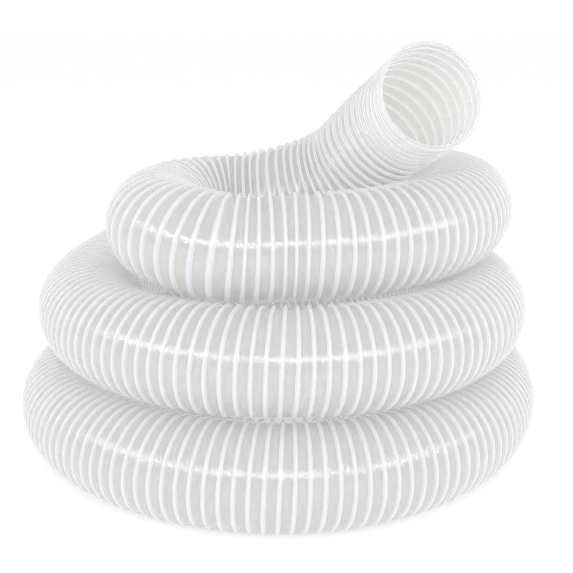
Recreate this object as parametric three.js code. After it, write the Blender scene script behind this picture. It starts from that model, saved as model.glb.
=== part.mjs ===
// A clear vacuum and dust hose, lying in three laps with its free end laid across the top.
//
// The hose is two wound pieces: a thin translucent film that makes the tube, and a stiff white
// bead that runs round the film as one long left-handed helix and keeps the tube round.
// A flexible hose bends everywhere. Here the laps stay put, and both ends move on hinges in
// the middle of short bends, so the tube is cut into stretches that are named after their place.
//
// Millimetres, +Z up, the floor at Z = 0, and the front of the coil towards -Y.

import * as THREE from 'three';

// ---- Sizes that can be set by themselves ----

const BORE = 76.2;                // clear inside diameter, 3 in
const FILM_THICKNESS = 0.8;
const BEAD_WIDTH = 2.2;           // along the hose
const BEAD_PROUD = 1.4;           // how far the bead stands out from the film
const BEAD_PITCH = 8.6;           // along the hose, from turn to turn
const LAP_RADIUS = 165;           // mean radius of the coil, for a hose of LAY_DIAMETER
const CLEARANCE = 0.3;            // between solids that touch on the real hose

const FLOOR_END_LENGTH = 66;      // the straight end on the floor
const FLOOR_BEND_LENGTH = 66;     // the bend behind it, which gives when the end is turned
const NECK_BEND_LENGTH = 60;      // the bend that gives when the free end is lifted
const NECK_LENGTH = 56;
const MOUTH_BEND_LENGTH = 60;     // the bend that gives when the mouth is turned
const MOUTH_LENGTH = 72;

// ---- How the hose is laid ----

// The lay keeps its proportions to the hose: its radius, offsets and points suit this outside
// diameter, and a thicker hose is laid in a wider coil.
const LAY_DIAMETER = 80.6;

// One station for each quarter turn, clockwise from above. Turn 0 is on the right, 1 in front,
// 2 on the left and 3 at the back. offset is added to the mean radius, and level is the height
// in layers of hose: 0 is on the floor and 1 is on top of the first lap.
const FIRST_STATION = -1;
const STATIONS = [
	{ offset: 50, level: 0 },
	{ offset: 13, level: 0 },
	{ offset: 36, level: 0 },
	{ offset: 22, level: 0 },
	{ offset: -26, level: 0.6 },
	{ offset: -3, level: 0.995 },
	{ offset: 20, level: 0.985 },
	{ offset: 3, level: 1.015 },
	{ offset: -39, level: 1.63 },
	{ offset: -15, level: 1.99 },
	{ offset: -22, level: 1.885 },
];
const FLOOR_END_TURN = -0.85;     // where the hose starts
const LAST_TURN = 9;              // where the free end leaves the third lap
const POINTS_PER_TURN = 24;       // in a whole turn, which is four quarter turns

// The free end's points, from where it leaves the front of the third lap. It turns back on
// itself at the left, crosses the middle and climbs over the right front of the third lap.
const FREE_END = [
	[ - 26, - 2, - 0.5 ], [ - 50, - 1, 1 ], [ - 71.5, 8, 4 ], [ - 88, 23.5, 6 ],
	[ - 97.5, 44, 7.5 ], [ - 98, 65.5, 9 ], [ - 89.5, 87, 10.5 ], [ - 73.5, 103, 11.5 ],
	[ - 51.5, 112, 12.5 ], [ - 27.5, 113, 14.5 ], [ - 5.5, 110.5, 19 ], [ 16.5, 107, 25.5 ],
	[ 36, 101.5, 34 ], [ 52.5, 93.5, 45.5 ], [ 65, 84, 59.5 ], [ 77.5, 71.5, 74 ],
	[ 89.5, 56, 87.5 ], [ 98.5, 36.5, 98.5 ], [ 104.5, 15, 108 ],
];

const COIL_CENTRE = { x: 4.7, y: - 0.1 };   // puts the middle of the footprint on the origin

// ---- Values that follow from them ----

const FILM_RADIUS = BORE / 2 + FILM_THICKNESS;
const OUTSIDE_RADIUS = FILM_RADIUS + BEAD_PROUD;
const LAYER = 2 * OUTSIDE_RADIUS + CLEARANCE;
const LAY_SCALE = 2 * OUTSIDE_RADIUS / LAY_DIAMETER;

const SIDES = 12;                 // of the tube's section, with one side flat on the floor
const FLAT_SIDE = OUTSIDE_RADIUS * Math.cos( Math.PI / SIDES );
const LAP_STEP = 38;              // length of one step of a tube in the laps
const BEND_STEP = 8;              // and in the tight bends
const BEAD_STEP = BEAD_PITCH / SIDES;

// ---- The route of the centre line ----

const offsets = STATIONS.map( ( station ) => station.offset * LAY_SCALE );
const heights = STATIONS.map( ( station ) => station.level * LAYER );

function neighbours( values, i ) {

	const before = values[ i ] - values[ Math.max( i - 1, 0 ) ];
	const after = values[ Math.min( i + 1, values.length - 1 ) ] - values[ i ];
	return [ before, after ];

}

function roundSlope( values, i ) {

	const [ before, after ] = neighbours( values, i );
	return ( before + after ) / 2;

}

// A slope that never dips below a resting lap or humps above it.
function restingSlope( values, i ) {

	const [ before, after ] = neighbours( values, i );
	if ( before * after <= 0 ) return 0;
	const steepest = 3 * Math.min( Math.abs( before ), Math.abs( after ) );
	return Math.sign( after ) * Math.min( Math.abs( before + after ) / 2, steepest );

}

// The cubic curve through the stations' values, with the given slope at each station.
function valueAt( turn, values, slopeAt ) {

	const i = Math.min( Math.floor( turn - FIRST_STATION ), values.length - 2 );
	const t = turn - FIRST_STATION - i;
	const change = values[ i + 1 ] - values[ i ];
	const start = slopeAt( values, i );
	const end = slopeAt( values, i + 1 );
	return values[ i ] + t * start + t * t * ( 3 * change - 2 * start - end )
		+ t * t * t * ( start + end - 2 * change );

}

function coilPoint( turn ) {

	const radius = LAP_RADIUS * LAY_SCALE + valueAt( turn, offsets, roundSlope );
	const angle = - turn * Math.PI / 2;
	return new THREE.Vector3(
		COIL_CENTRE.x + radius * Math.cos( angle ),
		COIL_CENTRE.y + radius * Math.sin( angle ),
		FLAT_SIDE + valueAt( turn, heights, restingSlope )
	);

}

function coilPoints() {

	const count = Math.round( ( LAST_TURN - FLOOR_END_TURN ) / 4 * POINTS_PER_TURN );
	return Array.from( { length: count + 1 }, ( _, i ) =>
		coilPoint( THREE.MathUtils.lerp( FLOOR_END_TURN, LAST_TURN, i / count ) ) );

}

function freeEndPoints( start ) {

	return FREE_END.map( ( point ) =>
		new THREE.Vector3( ...point ).multiplyScalar( LAY_SCALE ).add( start ) );

}

const coil = coilPoints();
const routePoints = [ ...coil, ...freeEndPoints( coil.at( - 1 ) ) ];
const route = new THREE.CatmullRomCurve3( routePoints, false, 'centripetal' );
const DIVISIONS_PER_POINT = 40;
route.arcLengthDivisions = DIVISIONS_PER_POINT * ( routePoints.length - 1 );
const hoseLength = route.getLength();

// Length along the hose from the floor end to a turn of the coil.
function lengthAtTurn( turn ) {

	const share = ( turn - FLOOR_END_TURN ) / ( LAST_TURN - FLOOR_END_TURN );
	return route.getLengths()[ Math.round( share * ( coil.length - 1 ) * DIVISIONS_PER_POINT ) ];

}

// The upright frame at a length along the hose: where it is, which way it runs, up and sideways.
function frameAt( length ) {

	const share = THREE.MathUtils.clamp( length / hoseLength, 0, 1 );
	const point = route.getPointAt( share );
	const tangent = route.getTangentAt( share );
	const up = new THREE.Vector3( 0, 0, 1 ).addScaledVector( tangent, - tangent.z ).normalize();
	const side = new THREE.Vector3().crossVectors( tangent, up );
	return { point, tangent, up, side };

}

// ---- Paths for the solids ----

// A stretch of the centre line, with upright frames so that the flat side stays underneath.
class Stretch extends THREE.Curve {

	constructor( from, to ) {

		super();
		this.from = from;
		this.to = to;

	}

	frame( t ) {

		return frameAt( THREE.MathUtils.lerp( this.from, this.to, t ) );

	}

	getPoint( t ) {

		return this.frame( t ).point;

	}

	getPointAt( share ) {

		return this.getPoint( share );

	}

	computeFrenetFrames( steps ) {

		const frames = Array.from( { length: steps + 1 }, ( _, i ) => this.frame( i / steps ) );
		return {
			tangents: frames.map( ( frame ) => frame.tangent ),
			normals: frames.map( ( frame ) => frame.up ),
			binormals: frames.map( ( frame ) => frame.side ),
		};

	}

}

// The bead's line over a stretch: a left-handed helix whose corners lie over the film's corners.
class BeadStretch extends Stretch {

	radial( length ) {

		const { up, side } = frameAt( length );
		const angle = - 2 * Math.PI * length / BEAD_PITCH - Math.PI / SIDES;
		return up.multiplyScalar( Math.cos( angle ) ).addScaledVector( side, Math.sin( angle ) );

	}

	getPoint( t ) {

		const length = THREE.MathUtils.lerp( this.from, this.to, t );
		return frameAt( length ).point.addScaledVector( this.radial( length ), FILM_RADIUS + CLEARANCE );

	}

	computeFrenetFrames( steps ) {

		const frames = { tangents: [], normals: [], binormals: [] };
		const nearby = 0.01 / steps;
		for ( let i = 0; i <= steps; i ++ ) {

			const t = i / steps;
			const ahead = this.getPoint( Math.min( t + nearby, 1 ) );
			const tangent = ahead.sub( this.getPoint( Math.max( t - nearby, 0 ) ) ).normalize();
			const outwards = this.radial( THREE.MathUtils.lerp( this.from, this.to, t ) );
			const binormal = new THREE.Vector3().crossVectors( tangent, outwards ).normalize();
			frames.tangents.push( tangent );
			frames.normals.push( new THREE.Vector3().crossVectors( binormal, tangent ) );
			frames.binormals.push( binormal );

		}

		return frames;

	}

}

// ---- Sections and solids ----

function polygon( radius ) {

	return Array.from( { length: SIDES }, ( _, i ) => {

		const angle = ( 2 * i + 1 ) * Math.PI / SIDES;
		return new THREE.Vector2( radius * Math.cos( angle ), radius * Math.sin( angle ) );

	} );

}

function tubeSection( outsideRadius ) {

	const section = new THREE.Shape( polygon( outsideRadius ) );
	section.holes.push( new THREE.Path( polygon( BORE / 2 ) ) );
	return section;

}

function beadSection() {

	const height = BEAD_PROUD - CLEARANCE;
	return new THREE.Shape( [
		new THREE.Vector2( 0, - BEAD_WIDTH / 2 ),
		new THREE.Vector2( height, - BEAD_WIDTH / 2 ),
		new THREE.Vector2( height, BEAD_WIDTH / 2 ),
		new THREE.Vector2( 0, BEAD_WIDTH / 2 ),
	] );

}

const filmMaterial = new THREE.MeshStandardMaterial( {
	color: 0xd8dad2, roughness: 0.25, metalness: 0, transparent: true, opacity: 0.6,
} );
const beadMaterial = new THREE.MeshStandardMaterial( {
	color: 0xf6f7f5, roughness: 0.35, metalness: 0,
} );

function solid( name, section, path, steps, material ) {

	const geometry = new THREE.ExtrudeGeometry( section, {
		extrudePath: path, steps, bevelEnabled: false,
	} );
	const mesh = new THREE.Mesh( geometry, material );
	mesh.name = name;
	return mesh;

}

// A plain tube as wide as the beads, for the laps, where film and bead are one solid.
function lap( name, from, to ) {

	const path = new Stretch( from + CLEARANCE / 2, to - CLEARANCE / 2 );
	const steps = Math.ceil( ( to - from ) / LAP_STEP );
	return solid( name, tubeSection( OUTSIDE_RADIUS ), path, steps, filmMaterial );

}

// The film on a stretch of either end of the hose.
function film( name, from, to ) {

	const path = new Stretch( from + CLEARANCE / 2, to - CLEARANCE / 2 );
	const steps = Math.ceil( ( to - from ) / BEND_STEP );
	return solid( name, tubeSection( FILM_RADIUS ), path, steps, filmMaterial );

}

// The bead round the same stretch, between the places where it is cut.
function bead( name, from, to ) {

	const steps = Math.round( ( to - from ) / BEAD_STEP );
	return solid( name, beadSection(), new BeadStretch( from, to ), steps, beadMaterial );

}

// A cut through the hose, moved by less than a step of the bead so that it is at a bead's corner.
function cutAt( length ) {

	return Math.round( length / BEAD_STEP ) * BEAD_STEP;

}

// ---- The hose ----

const hoseEnd = Math.floor( hoseLength / BEAD_STEP ) * BEAD_STEP;
const mouthStart = cutAt( hoseEnd - MOUTH_LENGTH );
const mouthBendStart = cutAt( mouthStart - MOUTH_BEND_LENGTH );
const neckStart = cutAt( mouthBendStart - NECK_LENGTH );
const neckBendStart = cutAt( neckStart - NECK_BEND_LENGTH );
const returnBendStart = cutAt( lengthAtTurn( LAST_TURN ) );
const floorBendStart = cutAt( FLOOR_END_LENGTH );
const floorBendEnd = cutAt( FLOOR_END_LENGTH + FLOOR_BEND_LENGTH );

const ENDS = [
	[ 'floor_end', 0, floorBendStart ],
	[ 'floor_bend', floorBendStart, floorBendEnd ],
	[ 'return_bend', returnBendStart, neckBendStart ],
	[ 'neck_bend', neckBendStart, neckStart ],
	[ 'neck', neckStart, mouthBendStart ],
	[ 'mouth_bend', mouthBendStart, mouthStart ],
	[ 'mouth', mouthStart, hoseEnd ],
];

const LAPS = [
	[ 'hose_lap_1', floorBendEnd, lengthAtTurn( 3 ) ],
	[ 'hose_lap_2', lengthAtTurn( 3 ), lengthAtTurn( 7 ) ],
	[ 'hose_lap_3', lengthAtTurn( 7 ), returnBendStart ],
];

// A bead stops a clearance short of the next bead, and half its width short of a cut end or a lap.
const SHORT_OF_BEAD = CLEARANCE / 2 / ( 2 * Math.PI * FILM_RADIUS ) * BEAD_PITCH;
const SHORT_OF_END = Math.ceil( ( BEAD_WIDTH / 2 + CLEARANCE ) / BEAD_STEP ) * BEAD_STEP;
const bareEnds = [ 0, floorBendEnd, returnBendStart, hoseEnd ];

function shortOf( cut ) {

	return bareEnds.includes( cut ) ? SHORT_OF_END : SHORT_OF_BEAD;

}

const hose = new THREE.Group();

for ( const [ place, from, to ] of ENDS ) {

	hose.add( film( 'film_' + place, from, to ) );
	hose.add( bead( 'bead_' + place, from + shortOf( from ), to - shortOf( to ) ) );

}

for ( const [ name, from, to ] of LAPS ) {

	hose.add( lap( name, from, to ) );

}

export default hose;
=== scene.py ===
# %% [markdown]
# # A clear vacuum and dust hose in three laps
#
# The real hose is only two wound pieces. A thin, milky PVC film makes the tube, and one stiff
# white bead runs round it as a long left-handed helix that keeps the tube round. The bead stands
# out from the film, so the hose looks ribbed, and where the hose bends tightly the ribs crowd
# together on the inside and the film folds between them.
#
# All lengths are in metres. The fixed frame is loaded first.

# %% Load the fixed frame
import math

import bpy
import numpy as np
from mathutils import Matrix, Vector


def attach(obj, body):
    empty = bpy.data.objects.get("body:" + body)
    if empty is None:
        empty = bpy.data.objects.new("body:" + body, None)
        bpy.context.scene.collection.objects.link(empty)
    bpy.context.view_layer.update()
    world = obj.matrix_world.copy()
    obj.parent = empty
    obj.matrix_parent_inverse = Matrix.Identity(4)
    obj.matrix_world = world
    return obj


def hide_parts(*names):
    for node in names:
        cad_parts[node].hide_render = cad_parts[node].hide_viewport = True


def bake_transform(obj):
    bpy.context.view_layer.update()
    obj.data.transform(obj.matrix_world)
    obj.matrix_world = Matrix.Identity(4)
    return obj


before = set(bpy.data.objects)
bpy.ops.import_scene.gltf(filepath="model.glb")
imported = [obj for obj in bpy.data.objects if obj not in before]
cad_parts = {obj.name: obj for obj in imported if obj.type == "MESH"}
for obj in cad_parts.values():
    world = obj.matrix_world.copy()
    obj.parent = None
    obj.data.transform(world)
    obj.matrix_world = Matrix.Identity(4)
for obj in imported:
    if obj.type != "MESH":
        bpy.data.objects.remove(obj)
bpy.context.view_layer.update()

# %% [markdown]
# ## The camera
#
# The camera comes before the hose, because a free hose has to lie where the camera sees it. It
# stands in front of the coil, a little above the top lap, and looks down at the middle. It is
# less than a metre away, so the front of a lap looks clearly larger than its back.

# %% Place the camera
CAMERA_DISTANCE = 0.850
CAMERA_ELEVATION = math.radians(15.45)
CAMERA_TARGET = Vector((0.0051, 0.0, 0.1226))
CAMERA_LENS = 60.15

backwards = Vector((0, -math.cos(CAMERA_ELEVATION), math.sin(CAMERA_ELEVATION)))
bpy.ops.object.camera_add(
    location=CAMERA_TARGET + backwards * CAMERA_DISTANCE,
    rotation=(math.pi / 2 - CAMERA_ELEVATION, 0, 0),
)
camera = bpy.context.object
camera.data.lens = CAMERA_LENS
bpy.context.scene.camera = camera
print("camera", camera.location[:])

# %% [markdown]
# ## The way the hose lies
#
# A coiled hose is easiest to describe by where its centre line is at each quarter turn: how far
# out, and how many layers up. Smooth curves through those values give the laps. The free end
# isn't coiled, so it is a list of points that follow the top of the coil, turn back on
# themselves and climb over the front lap. These are the same sizes and points as in the solid
# model, so the soft hose lies exactly where its solids are.

# %% Name the hose's sizes
BORE = 0.0762
FILM_THICKNESS = 0.0008
BEAD_WIDTH = 0.0022
BEAD_PROUD = 0.0014
PITCH = 0.0086
LAP_RADIUS = 0.165
CLEARANCE = 0.0003

FILM_RADIUS = BORE / 2 + FILM_THICKNESS
OUTSIDE_RADIUS = FILM_RADIUS + BEAD_PROUD
LAYER = 2 * OUTSIDE_RADIUS + CLEARANCE
SOLID_SIDES = 12                  # of the solid model's tube, with one side flat on the floor
HALF_SIDE = math.pi / SOLID_SIDES
RESTING_HEIGHT = OUTSIDE_RADIUS * math.cos(HALF_SIDE)

COIL_CENTRE = (0.0047, -0.0001)
FIRST_STATION = -1
OFFSETS = [0.050, 0.013, 0.036, 0.022, -0.026, -0.003, 0.020, 0.003, -0.039, -0.015, -0.022]
LEVELS = [0, 0, 0, 0, 0.6, 0.995, 0.985, 1.015, 1.63, 1.99, 1.885]
FLOOR_END_TURN = -0.85
LAST_TURN = 9
POINTS_PER_TURN = 24

FREE_END = [
    (-0.026, -0.002, -0.0005), (-0.050, -0.001, 0.001), (-0.0715, 0.008, 0.004),
    (-0.088, 0.0235, 0.006), (-0.0975, 0.044, 0.0075), (-0.098, 0.0655, 0.009),
    (-0.0895, 0.087, 0.0105), (-0.0735, 0.103, 0.0115), (-0.0515, 0.112, 0.0125),
    (-0.0275, 0.113, 0.0145), (-0.0055, 0.1105, 0.019), (0.0165, 0.107, 0.0255),
    (0.036, 0.1015, 0.034), (0.0525, 0.0935, 0.0455), (0.065, 0.084, 0.0595),
    (0.0775, 0.0715, 0.074), (0.0895, 0.056, 0.0875), (0.0985, 0.0365, 0.0985),
    (0.1045, 0.015, 0.108),
]
print(f"hose {OUTSIDE_RADIUS * 2000:.1f} mm over its bead")

# %% Work out the coil's points
def round_slope(before, after):
    return (before + after) / 2


def resting_slope(before, after):
    """A slope that never dips below a resting lap or humps above it."""
    if before * after <= 0:
        return 0
    steepest = 3 * min(abs(before), abs(after))
    return math.copysign(min(abs(before + after) / 2, steepest), after)


def value_at(turn, values, slope_rule):
    """The cubic curve through the stations' values."""
    def slope(i):
        before = values[i] - values[max(i - 1, 0)]
        return slope_rule(before, values[min(i + 1, len(values) - 1)] - values[i])

    i = min(math.floor(turn - FIRST_STATION), len(values) - 2)
    t = turn - FIRST_STATION - i
    change, start, end = values[i + 1] - values[i], slope(i), slope(i + 1)
    curve = t * t * (3 * change - 2 * start - end) + t ** 3 * (start + end - 2 * change)
    return values[i] + t * start + curve


def coil_point(turn):
    radius = LAP_RADIUS + value_at(turn, OFFSETS, round_slope)
    angle = -turn * math.pi / 2
    return (
        COIL_CENTRE[0] + radius * math.cos(angle),
        COIL_CENTRE[1] + radius * math.sin(angle),
        RESTING_HEIGHT + LAYER * value_at(turn, LEVELS, resting_slope),
    )


coil_steps = round((LAST_TURN - FLOOR_END_TURN) / 4 * POINTS_PER_TURN)
coil_turns = np.linspace(FLOOR_END_TURN, LAST_TURN, coil_steps + 1)
coil_points = np.array([coil_point(turn) for turn in coil_turns])
lay_points = np.vstack([coil_points, coil_points[-1] + np.array(FREE_END)])
print(len(coil_points), "coil points and", len(FREE_END), "on the free end")

# %% [markdown]
# The centre line is a centripetal Catmull-Rom curve through those points, as in the solid
# model. Every piece of the hose is then placed by its length along that line, so the line also
# needs its direction, which way is up, which way is sideways, and how hard it bends.

# %% Draw the centre line through the points
def through(points, per_span):
    """A centripetal Catmull-Rom curve, as a fine row of points."""
    ends = np.vstack([2 * points[0] - points[1], points, 2 * points[-1] - points[-2]])
    gaps = np.sqrt(np.linalg.norm(np.diff(ends, axis=0), axis=1))
    t = (np.arange(per_span) / per_span)[:, None]
    spans = []
    for i in range(len(points) - 1):
        p0, p1, p2, p3 = ends[i:i + 4]
        g0, g1, g2 = gaps[i:i + 3]
        out = ((p1 - p0) / g0 - (p2 - p0) / (g0 + g1) + (p2 - p1) / g1) * g1
        into = ((p2 - p1) / g1 - (p3 - p1) / (g1 + g2) + (p3 - p2) / g2) * g1
        bulge = (3 * (p2 - p1) - 2 * out - into) * t ** 2
        spans.append(p1 + out * t + bulge + (2 * (p1 - p2) + out + into) * t ** 3)
    return np.concatenate(spans + [points[-1:]])


def along(line):
    """The length from the start of a line to each of its points."""
    return np.concatenate([[0], np.cumsum(np.linalg.norm(np.diff(line, axis=0), axis=1))])


POINTS_PER_SPAN = 40
route = through(lay_points, POINTS_PER_SPAN)
route_length = along(route)
hose_length = route_length[-1]
route_tangent = np.gradient(route, route_length, axis=0)
route_tangent /= np.linalg.norm(route_tangent, axis=1)[:, None]
print(f"hose {hose_length:.3f} m long")

# %% Measure how the centre line bends
BEND_STEP = 0.002
SMOOTHING = 21                    # steps that the bend is averaged over

bend_length = np.arange(0, hose_length, BEND_STEP)


def interpolated(at, lengths, values):
    return np.stack([np.interp(at, lengths, values[:, k]) for k in range(3)], axis=-1)


def averaged(values):
    """Each value averaged with its neighbours, and the ends held."""
    half = SMOOTHING // 2
    held = np.concatenate([np.repeat(values[:1], half), values, np.repeat(values[-1:], half)])
    return np.convolve(held, np.ones(SMOOTHING) / SMOOTHING, "valid")


even_tangent = interpolated(bend_length, route_length, route_tangent)
raw_bend = np.gradient(even_tangent, BEND_STEP, axis=0)
bend = np.stack([averaged(raw_bend[:, k]) for k in range(3)], axis=-1)
print(f"tightest bend {1000 / np.linalg.norm(bend, axis=1).max():.0f} mm")

# %% [markdown]
# ## Placing a point on the hose
#
# A point on the hose has a length along it, an angle round it and a radius. Two things move it
# from a perfect tube. On the inside of a tight bend the ribs would pass through each other, so
# that side flattens until they just touch. And the first lap rests on the floor, so nothing
# goes below it.
#
# A wound hose is never quite even, so the ribs also drift a fraction of a millimetre from their
# places.

# %% Place points on the hose
CLOSEST_RIBS = 0.0024
FLATTENING = 12                   # how suddenly the inside of a bend flattens
LEAST_TURNING = 1e-3              # stands for a straight hose, where nothing is squeezed
DRIFT = 0.00013
DRIFT_WAVES = [(0.83, 0.4), (0.31, 2.0), (1.71, 0.0)]   # speed and start of each


def drifted(length):
    """Where a rib really is, for its even place along the hose."""
    turn = length / PITCH
    return length + DRIFT * sum(np.sin(speed * turn + start) for speed, start in DRIFT_WAVES)


def frames_at(length):
    """The point, tangent, up, side and bend at lengths along the hose."""
    point = interpolated(length, route_length, route)
    tangent = interpolated(length, route_length, route_tangent)
    tangent /= np.linalg.norm(tangent, axis=-1)[..., None]
    up = np.array([0, 0, 1]) - tangent * tangent[..., 2:]
    up /= np.linalg.norm(up, axis=-1)[..., None]
    return point, tangent, up, np.cross(tangent, up), interpolated(length, bend_length, bend)


def outwards(angle, up, side):
    return up * np.cos(angle)[..., None] + side * np.sin(angle)[..., None]


def squeeze(angle, length):
    """How much nearer the centre line the hose is here, and how far apart its ribs are."""
    _, _, up, side, turning = frames_at(length)
    towards = (outwards(angle, up, side) * turning).sum(-1)
    widest = (1 - CLOSEST_RIBS / PITCH) / np.maximum(towards, LEAST_TURNING)
    share = (1 + (OUTSIDE_RADIUS / widest) ** FLATTENING) ** (-1 / FLATTENING)
    return share, PITCH * (1 - towards * OUTSIDE_RADIUS * share)


def on_hose(length, angle, radius):
    length = drifted(length)
    point, _, up, side, _ = frames_at(length)
    share, _ = squeeze(angle, length)
    place = point + outwards(angle, up, side) * (radius * share)[..., None]
    place[..., 2] = np.maximum(place[..., 2], 0)
    return place


# %% [markdown]
# ## Building a mesh from rows of points
#
# Film and bead both follow the helix for hundreds of turns, which is far too much to extrude by
# hand. The faces are written out by a rule instead. Each one carries its own place on the strip,
# as a UV map: turns along the helix one way, and across the strip the other way.

# %% Make a mesh piece
def mesh_piece(name, points, faces, face_uvs):
    """A smooth mesh object. A face's corners that fall on each other are joined into one."""
    corners, uvs, sizes = [], [], []
    whole = (faces != np.roll(faces, 1, axis=1)).all(axis=1)
    for face, uv in zip(faces[~whole], face_uvs[~whole]):
        kept = [k for k in range(4) if face[k] != face[k - 1]]
        if len(set(face[kept])) > 2:
            corners += list(face[kept])
            uvs += list(uv[kept])
            sizes.append(len(kept))
    corners = np.concatenate([faces[whole].ravel(), np.array(corners, int)])
    uvs = np.concatenate([face_uvs[whole].reshape(-1, 2), np.array(uvs).reshape(-1, 2)])
    sizes = np.concatenate([np.full(whole.sum(), 4), np.array(sizes, int)])
    used, corners = np.unique(corners, return_inverse=True)
    mesh = bpy.data.meshes.new(name)
    mesh.vertices.add(len(used))
    mesh.vertices.foreach_set("co", points[used].astype(np.float32).ravel())
    mesh.loops.add(len(corners))
    mesh.loops.foreach_set("vertex_index", corners.astype(np.int32))
    mesh.polygons.add(len(sizes))
    starts = np.concatenate([[0], np.cumsum(sizes)[:-1]])
    mesh.polygons.foreach_set("loop_start", starts.astype(np.int32))
    mesh.uv_layers.new(name="UVMap").data.foreach_set("uv", uvs.astype(np.float32).ravel())
    mesh.update(calc_edges=True)
    mesh.validate()
    mesh.shade_smooth()
    piece = bpy.data.objects.new(name, mesh)
    bpy.context.collection.objects.link(piece)
    return piece


# %% [markdown]
# ## The film
#
# The film is one strip wound along the helix, a pitch wide, with each edge under a bead. Between
# two beads it sags a little towards the middle of the hose. Where the beads are pushed closer
# together than the strip is wide, the spare film has to go somewhere, so it folds inwards.
#
# It is made as a closed skin with an outside and an inside, and it ends in a flat ring where
# the hose is cut.

# %% Shape the film between its beads
SEGMENTS = 36                     # round the hose
OUTSIDE_ROWS = 5                  # across the strip
INSIDE_ROWS = 3
STRIP_WIDTH = 0.00875
LEAST_SAG = 0.00012
SAME_PLACE = 1e-7                 # lengths closer than this are the same point's


def helix_angle(step):
    return -2 * math.pi * step / SEGMENTS - HALF_SIDE


def film_radius(length, step):
    """The film's outside radius, from where a point is between two beads."""
    across = (length / PITCH - step / SEGMENTS) % 1
    _, apart = squeeze(helix_angle(step), length)
    apart = np.clip(apart, CLOSEST_RIBS, STRIP_WIDTH)
    sag = LEAST_SAG + 0.5 * np.sqrt(apart * (STRIP_WIDTH - apart))
    return FILM_RADIUS - sag * 4 * across * (1 - across)


def film_skin(start, end, rows, inwards):
    """One skin between two cuts: points, faces and UVs, and each point's length and column."""
    first_step = math.floor((start / PITCH - 1) * SEGMENTS)
    steps = np.arange(first_step, math.ceil(end / PITCH * SEGMENTS))
    step, row = np.meshgrid(steps, np.arange(rows), indexing="ij")
    corner_step = np.stack([step, step + 1, step + 1, step], axis=-1).reshape(-1, 4)
    corner_row = np.stack([row, row, row + 1, row + 1], axis=-1).reshape(-1, 4)
    even = PITCH * (corner_step / SEGMENTS + corner_row / rows)
    length = np.clip(even, start, end)
    inside = (length.max(axis=1) > start) & (length.min(axis=1) < end)
    length, corner_step, corner_row = length[inside], corner_step[inside], corner_row[inside]
    column = corner_step % SEGMENTS
    key = np.round(length / SAME_PLACE).astype(np.int64) * SEGMENTS + column
    _, first, faces = np.unique(key, return_index=True, return_inverse=True)
    faces = faces.reshape(-1, 4)
    length_at, step_at = length.ravel()[first], corner_step.ravel()[first]
    radius = film_radius(length_at, step_at) - inwards
    points = on_hose(length_at, helix_angle(step_at), radius)
    uvs = np.stack([corner_step / SEGMENTS, corner_row / rows], axis=-1)
    return points, faces, uvs, length_at, step_at % SEGMENTS


def film_ring(skin, cut):
    """A skin's points at a cut, in the order of their columns."""
    _, _, _, length, column = skin
    at_cut = np.flatnonzero(np.abs(length - cut) < SAME_PLACE)
    return at_cut[np.argsort(column[at_cut])]


def film(name, start, end):
    outer = film_skin(start, end, OUTSIDE_ROWS, 0)
    inner = film_skin(start, end, INSIDE_ROWS, FILM_THICKNESS)
    shift = len(outer[0])
    faces, uvs = [outer[1][:, ::-1], inner[1] + shift], [outer[2][:, ::-1], inner[2]]
    for cut, turned in ((start, False), (end, True)):
        rim, lip = film_ring(outer, cut), film_ring(inner, cut) + shift
        ring = np.stack([rim, np.roll(rim, -1), np.roll(lip, -1), lip], axis=-1)
        faces.append(ring[:, ::-1] if turned else ring)
        uvs.append(np.full((SEGMENTS, 4, 2), 0.5))
    points = np.concatenate([outer[0], inner[0]])
    piece = mesh_piece(name, points, np.concatenate(faces), np.concatenate(uvs))
    print(name, len(piece.data.polygons), "faces")
    return piece


# %% [markdown]
# ## The free hose comes first
#
# The whole hose is one free hose, but it has to bend at both ends, and a piece can only bend
# between two bodies. So the film is cut into four: the floor end, the coil, the neck and the
# mouth. The cuts are outside the stretches that bend, so the joins never open. The coil is the
# long one, and its stretch of the centre line is worked out below as the cord's path.

# %% Make the film's four pieces
FLOOR_CUT = 0.140
NECK_CUT = 2.775
MOUTH_CUT = 2.910
HOSE_START = 0.0
HOSE_END = math.floor(hose_length / PITCH * SOLID_SIDES) * PITCH / SOLID_SIDES

film_floor = film("film_floor_end_soft", HOSE_START, FLOOR_CUT)
film_coil = film("film_coil_soft", FLOOR_CUT, NECK_CUT)
film_neck = film("film_neck_soft", NECK_CUT, MOUTH_CUT)
film_mouth = film("film_mouth_soft", MOUTH_CUT, HOSE_END)

# %% [markdown]
# ## The bead
#
# The bead is a stiff rod with a flat foot and a rounded top. Its section is carried along the
# helix, upright on the film. Where the hose is cut across, the bead is cut by the same plane,
# so it thins out along the edge instead of sticking out past it.

# %% Make the bead's pieces
BEAD_END_OVERHANG = 0.4           # of its width, past the hose's cut end before it is trimmed
BEAD_SECTION = [                  # along the hose and up from the film, in half widths and heights
    (-1.0, -0.2), (-1.0, 0.25), (-0.72, 0.78), (0, 1.0), (0.72, 0.78), (1.0, 0.25), (1.0, -0.2),
]


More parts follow.
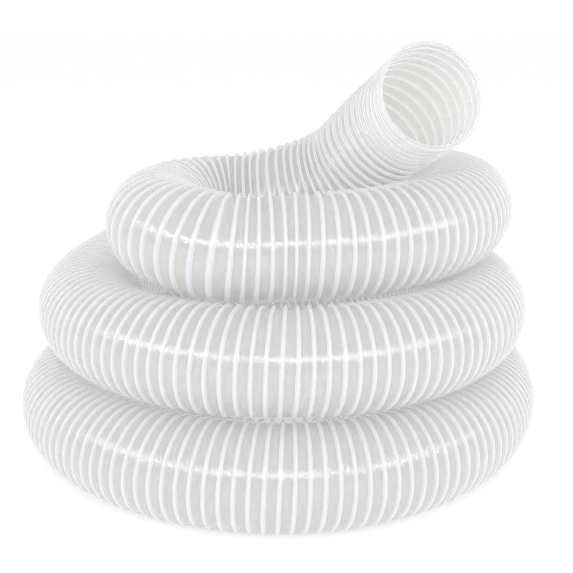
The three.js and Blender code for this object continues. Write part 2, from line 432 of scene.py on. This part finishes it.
def bead(name, start, end):
    """The bead from one length to another. It is cut flat at the hose's own two ends."""
    section = np.array(BEAD_SECTION) * (BEAD_WIDTH / 2, BEAD_PROUD)
    overhang = BEAD_WIDTH * BEAD_END_OVERHANG
    first = math.ceil((start - overhang * (start == HOSE_START)) / PITCH * SEGMENTS)
    last = math.floor((end + overhang * (end == HOSE_END)) / PITCH * SEGMENTS)
    step = np.arange(first, last + 1)
    turn = np.repeat(step / SEGMENTS, len(section)).reshape(-1, len(section))
    length = np.clip(turn * PITCH + section[:, 0], HOSE_START, HOSE_END)
    angle = -2 * math.pi * turn - HALF_SIDE
    radius = FILM_RADIUS + np.tile(section[:, 1], len(step))
    points = on_hose(length.ravel(), angle.ravel(), radius)
    number = np.arange(len(points)).reshape(-1, len(section))
    onward = np.roll(number, -1, axis=1)
    faces = np.stack([number[:-1], onward[:-1], onward[1:], number[1:]], axis=-1).reshape(-1, 4)
    across = np.arange(len(section) + 1) / len(section)
    low, high = np.meshgrid(turn[:-1, 0], across[:-1], indexing="ij")
    next_turn, next_across = low + 1 / SEGMENTS, high + 1 / len(section)
    uvs = np.stack([low, high, low, next_across, next_turn, next_across, next_turn, high], axis=-1)
    fan = [[0, 1, 2, 3], [0, 3, 4, 5], [0, 5, 6, 6]]     # closes an end with the section's corners
    caps = np.concatenate([ring[fan] for ring in (number[0][::-1], number[-1])])
    faces = np.concatenate([faces, caps])
    uvs = np.concatenate([uvs.reshape(-1, 4, 2), np.zeros((len(caps), 4, 2))])
    piece = mesh_piece(name, points, faces, uvs)
    print(name, len(piece.data.polygons), "faces")
    return piece


LAP_CUTS = [1.1293, 2.125, 2.6126]          # keep each piece light enough
bead_floor = bead("bead_floor_end_soft", HOSE_START, FLOOR_CUT)
bead_laps = [
    bead(f"bead_lap_{number + 1}_soft", start, end)
    for number, (start, end) in enumerate(zip([FLOOR_CUT, *LAP_CUTS], [*LAP_CUTS, NECK_CUT]))
]
bead_neck = bead("bead_neck_soft", NECK_CUT, MOUTH_CUT)
bead_mouth = bead("bead_mouth_soft", MOUTH_CUT, HOSE_END)

# %% [markdown]
# ## Riding
#
# The coil rides the coil body and stays where it lies. The floor end, the neck and the mouth
# each have a hinge in the middle of a short stretch, the same for film and bead, but here they
# are only baked in place and do not bend.

# %% Let the coil ride and bake the end pieces in place
FLOOR_PIVOT, FLOOR_REACH = 0.0989, 0.033
NECK_PIVOT, NECK_REACH = 2.836, 0.019
MOUTH_PIVOT, MOUTH_REACH = 2.953, 0.026


def bend_across(pieces, pivot):
    point, tangent, *_ = frames_at(np.array([pivot]))
    for piece in pieces:
        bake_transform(piece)


for piece in (film_coil, *bead_laps):
    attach(piece, "coil")
bend_across((film_floor, bead_floor), FLOOR_PIVOT)
bend_across((film_neck, bead_neck), NECK_PIVOT)
bend_across((film_mouth, bead_mouth), MOUTH_PIVOT)

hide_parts("film_floor_end", "film_floor_bend")
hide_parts("bead_floor_end", "bead_floor_bend")
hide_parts("hose_lap_1", "hose_lap_2", "hose_lap_3", "film_return_bend")
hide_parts("bead_return_bend")
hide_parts("film_neck_bend", "film_neck")
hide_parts("bead_neck_bend", "bead_neck")
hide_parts("film_mouth_bend", "film_mouth")
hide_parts("bead_mouth_bend", "bead_mouth")

films = (film_floor, film_coil, film_neck, film_mouth)
beads = (bead_floor, *bead_laps, bead_neck, bead_mouth)

# %% Work out the free hose's length, points, path and side
CORD_POINT_GAP = 0.005

cord_length = round(NECK_CUT - FLOOR_CUT, 3)
cord_points = round(cord_length / CORD_POINT_GAP) + 1
cord_path = frames_at(np.linspace(FLOOR_CUT, NECK_CUT, cord_points))[0]
_, _, _, cord_side, _ = frames_at(np.array([FLOOR_CUT]))

# %% [markdown]
# ## Haze, streaks and dust
#
# Soft PVC film is never clear glass. It is cloudy, with slow changes from place to place, it has
# fine marks from being drawn and wound, and it gathers a little dust. Film and bead both show
# that, so it is one node group, and each material gives it its own amounts.

# %% Build the shared haze group
def socket(group, name, kind, direction, value=None):
    made = group.interface.new_socket(name=name, in_out=direction, socket_type=kind)
    if value is not None:
        made.default_value = value


def add(tree, kind, **settings):
    node = tree.nodes.new(kind)
    for name, value in settings.items():
        setattr(node, name, value)
    return node


haze = bpy.data.node_groups.new("haze and streaks", "ShaderNodeTree")
socket(haze, "Cloud size", "NodeSocketFloat", "INPUT", 20.0)
socket(haze, "Streaks round", "NodeSocketFloat", "INPUT", 12.0)
socket(haze, "Streaks across", "NodeSocketFloat", "INPUT", 6.0)
socket(haze, "Cloud", "NodeSocketFloat", "OUTPUT")
socket(haze, "Streak", "NodeSocketFloat", "OUTPUT")
socket(haze, "Dust", "NodeSocketFloat", "OUTPUT")

inputs, outputs = add(haze, "NodeGroupInput"), add(haze, "NodeGroupOutput")
places = add(haze, "ShaderNodeTexCoord")
cloud = add(haze, "ShaderNodeTexNoise")
cloud.inputs["Detail"].default_value = 3
haze.links.new(places.outputs["Object"], cloud.inputs["Vector"])
haze.links.new(inputs.outputs["Cloud size"], cloud.inputs["Scale"])
haze.links.new(cloud.outputs["Fac"], outputs.inputs["Cloud"])

strip = add(haze, "ShaderNodeUVMap", uv_map="UVMap")
stretch = add(haze, "ShaderNodeCombineXYZ")
haze.links.new(inputs.outputs["Streaks round"], stretch.inputs["X"])
haze.links.new(inputs.outputs["Streaks across"], stretch.inputs["Y"])
scaled = add(haze, "ShaderNodeVectorMath", operation="MULTIPLY")
haze.links.new(strip.outputs["UV"], scaled.inputs[0])
haze.links.new(stretch.outputs["Vector"], scaled.inputs[1])
streak = add(haze, "ShaderNodeTexNoise")
streak.inputs["Scale"].default_value = 1
streak.inputs["Detail"].default_value = 4
haze.links.new(scaled.outputs["Vector"], streak.inputs["Vector"])
haze.links.new(streak.outputs["Fac"], outputs.inputs["Streak"])

dust = add(haze, "ShaderNodeTexNoise")
dust.inputs["Scale"].default_value = 420
dust.inputs["Detail"].default_value = 2
speck = add(haze, "ShaderNodeMapRange")
speck.inputs["From Min"].default_value = 0.62
speck.inputs["From Max"].default_value = 0.72
haze.links.new(places.outputs["Object"], dust.inputs["Vector"])
haze.links.new(dust.outputs["Fac"], speck.inputs["Value"])
haze.links.new(speck.outputs["Result"], outputs.inputs["Dust"])
print("group", haze.name, [s.name for s in haze.interface.items_tree])

# %% [markdown]
# ## The film's material
#
# The film lets light in but hardly lets the eye through: it is milky, faintly green-grey, and
# glossy. Along its edges, where it is welded to the bead, it is thicker and whiter. Its gloss is
# broken up by the streaks, which is what makes the bright line along each lap sparkle.
#
# Light that enters a milky wall comes out again far from where it went in, even in the crevices
# between the laps. An even glow stands in for that, low on the film and about three times as
# strong on the welds. It adds to the base colours, so they are darker than the hose looks. It is
# the same in any light, so a dark scene needs a lower Emission Strength.

# %% Make the film's material
FILM_COLOUR = (0.555, 0.556, 0.533, 1)
FILM_CLEAR_COLOUR = (0.505, 0.506, 0.481, 1)
WELD_COLOUR = (0.76, 0.765, 0.765, 1)
FILM_GLOW = (0.19, 0.191, 0.18, 1)
WELD_GLOW = (0.62, 0.62, 0.625, 1)
FILM_OPACITY = 0.62
WELD_OPACITY = 0.97
FILM_ROUGHNESS = (0.04, 0.17)     # between the streaks, and on them


def principled(name, **values):
    material = bpy.data.materials.new(name)
    material.use_nodes = True
    shader = material.node_tree.nodes["Principled BSDF"]
    for socket_name, value in values.items():
        shader.inputs[socket_name.replace("_", " ")].default_value = value
    return material, material.node_tree, shader


def mixed(tree, factor, low, high):
    """A colour or number that changes from low to high by a mask."""
    kind, socket_type = ("RGBA", "RGBA") if isinstance(high, tuple) else ("FLOAT", "VALUE")
    node = add(tree, "ShaderNodeMix", data_type=kind)
    tree.links.new(factor, node.inputs["Factor"])
    ends = [s for s in node.inputs if s.name in ("A", "B") and s.type == socket_type]
    for target, value in zip(ends, (low, high)):
        if isinstance(value, bpy.types.NodeSocket):
            tree.links.new(value, target)
        else:
            target.default_value = value
    return next(s for s in node.outputs if s.type == socket_type)


film_material, tree, shader = principled(
    "milky film", Metallic=0, IOR=1.7, Subsurface_Weight=0.8, Subsurface_Scale=0.012,
    Subsurface_Radius=(1.0, 1.0, 0.9), Emission_Strength=0.5,
)
marks = add(tree, "ShaderNodeGroup", node_tree=haze)
marks.inputs["Cloud size"].default_value = 16
marks.inputs["Streaks round"].default_value = 32
marks.inputs["Streaks across"].default_value = 6

strip = add(tree, "ShaderNodeUVMap", uv_map="UVMap")
split = add(tree, "ShaderNodeSeparateXYZ")
tree.links.new(strip.outputs["UV"], split.inputs["Vector"])
from_middle = add(tree, "ShaderNodeMath", operation="PINGPONG")
from_middle.inputs[1].default_value = 0.5
tree.links.new(split.outputs["Y"], from_middle.inputs[0])
weld = add(tree, "ShaderNodeMapRange", interpolation_type="SMOOTHSTEP")
weld.inputs["From Min"].default_value = 0.20
weld.inputs["From Max"].default_value = 0.10
tree.links.new(from_middle.outputs[0], weld.inputs["Value"])

clouded = mixed(tree, marks.outputs["Cloud"], FILM_CLEAR_COLOUR, FILM_COLOUR)
coloured = mixed(tree, weld.outputs["Result"], clouded, WELD_COLOUR)
glow = mixed(tree, weld.outputs["Result"], FILM_GLOW, WELD_GLOW)
opacity = mixed(tree, weld.outputs["Result"], FILM_OPACITY, WELD_OPACITY)
tree.links.new(coloured, shader.inputs["Base Color"])
tree.links.new(glow, shader.inputs["Emission Color"])
tree.links.new(opacity, shader.inputs["Alpha"])

dull = add(tree, "ShaderNodeMapRange", interpolation_type="SMOOTHSTEP")
dull.inputs["From Min"].default_value = 0.45
dull.inputs["From Max"].default_value = 0.56
tree.links.new(marks.outputs["Streak"], dull.inputs["Value"])
roughness = mixed(tree, dull.outputs["Result"], *FILM_ROUGHNESS)
tree.links.new(roughness, shader.inputs["Roughness"])

ripple = add(tree, "ShaderNodeBump")
ripple.inputs["Strength"].default_value = 1.0
ripple.inputs["Distance"].default_value = 0.0005
tree.links.new(marks.outputs["Streak"], ripple.inputs["Height"])
tree.links.new(ripple.outputs["Normal"], shader.inputs["Normal"])
for piece in films:
    piece.data.materials.append(film_material)

# %% [markdown]
# ## The bead's material
#
# The bead is a hard, bright white PVC, much more solid than the film. It has the soft shine of
# an extruded rod, fine lines along it, and a little dust. It glows a little too, a painted light
# that stands in for light scattered through the white PVC into the crevices between the laps,
# so its base colour is a middle grey that comes out white.

# %% Make the bead's material
BEAD_COLOUR = (0.40, 0.404, 0.42, 1)
BEAD_DULL_COLOUR = (0.39, 0.394, 0.404, 1)
BEAD_ROUGHNESS = (0.28, 0.45)

# The emission is painted light: an even glow that stands in for light scattered through the bead.
bead_material, tree, shader = principled(
    "white bead", Metallic=0, IOR=1.5, Coat_Weight=0.2,
    Subsurface_Weight=1.0, Subsurface_Scale=0.012, Subsurface_Radius=(1.0, 1.0, 1.0),
    Emission_Color=BEAD_COLOUR, Emission_Strength=0.36,
)
marks = add(tree, "ShaderNodeGroup", node_tree=haze)
marks.inputs["Cloud size"].default_value = 60
marks.inputs["Streaks round"].default_value = 3
marks.inputs["Streaks across"].default_value = 14
dusty = mixed(tree, marks.outputs["Dust"], BEAD_COLOUR, BEAD_DULL_COLOUR)
roughness = mixed(tree, marks.outputs["Cloud"], *BEAD_ROUGHNESS)
tree.links.new(dusty, shader.inputs["Base Color"])
tree.links.new(roughness, shader.inputs["Roughness"])
lines = add(tree, "ShaderNodeBump")
lines.inputs["Strength"].default_value = 0.25
lines.inputs["Distance"].default_value = 0.0001
tree.links.new(marks.outputs["Streak"], lines.inputs["Height"])
tree.links.new(lines.outputs["Normal"], shader.inputs["Normal"])
for piece in beads:
    piece.data.materials.append(bead_material)

# %% [markdown]
# ## The stage and the light
#
# A pale hose on a pale floor needs very soft, bright light. A white sky lights it from all
# sides, and a thin, bright ring of lamps round the front gives each lap its line of glints.
# Behind the hose is plain white, a little brighter than the sky that lights it, so that no
# edge shows where the floor ends.

# %% Set the stage
SKY_STRENGTH = 0.88
FLOOR_GAP = 0.0002                # keeps the floor out of the plane of the hose's underside
RING_RADIUS = 1.6
RING_HEIGHT = 0.75
LAMP_SIZE = (0.66, 0.12)
LAMP_POWER = 3.1
HOSE_MIDDLE = Vector((0, 0, 0.12))

bpy.ops.mesh.primitive_plane_add(size=60, location=(0, 0, -FLOOR_GAP))
floor = bpy.context.object
floor.name = "floor"
floor_material, *_ = principled(
    "pale floor", Base_Color=(0.8, 0.8, 0.8, 1), Roughness=0.9,
    Emission_Color=(1, 1, 1, 1), Emission_Strength=0.275,
)
floor.data.materials.append(floor_material)

world = bpy.data.worlds.new("white sky")
world.use_nodes = True
sky = world.node_tree.nodes["Background"]
sky.inputs["Color"].default_value = (1, 1, 1, 1)
sky.inputs["Strength"].default_value = SKY_STRENGTH
backdrop = add(world.node_tree, "ShaderNodeBackground")
seen = add(world.node_tree, "ShaderNodeLightPath")
either = add(world.node_tree, "ShaderNodeMixShader")
backdrop.inputs["Color"].default_value = (1, 1, 1, 1)
world_output = world.node_tree.nodes["World Output"]
world.node_tree.links.new(seen.outputs["Is Camera Ray"], either.inputs["Fac"])
world.node_tree.links.new(sky.outputs["Background"], either.inputs[1])
world.node_tree.links.new(backdrop.outputs["Background"], either.inputs[2])
world.node_tree.links.new(either.outputs["Shader"], world_output.inputs["Surface"])
bpy.context.scene.world = world


def lamp(azimuth):
    """One lamp of the ring. It points at the middle of the hose."""
    turned = math.radians(azimuth)
    place = Vector((RING_RADIUS * math.sin(turned), -RING_RADIUS * math.cos(turned), RING_HEIGHT))
    bpy.ops.object.light_add(type="AREA", location=place)
    made = bpy.context.object
    made.name = f"ring lamp {azimuth}"
    made.data.shape = "RECTANGLE"
    made.data.size, made.data.size_y = LAMP_SIZE
    made.data.energy = LAMP_POWER
    made.rotation_euler = (HOSE_MIDDLE - place).to_track_quat("-Z", "Y").to_euler()


for azimuth in range(-72, 73, 24):
    lamp(azimuth)
bpy.context.scene.view_settings.view_transform = "Standard"
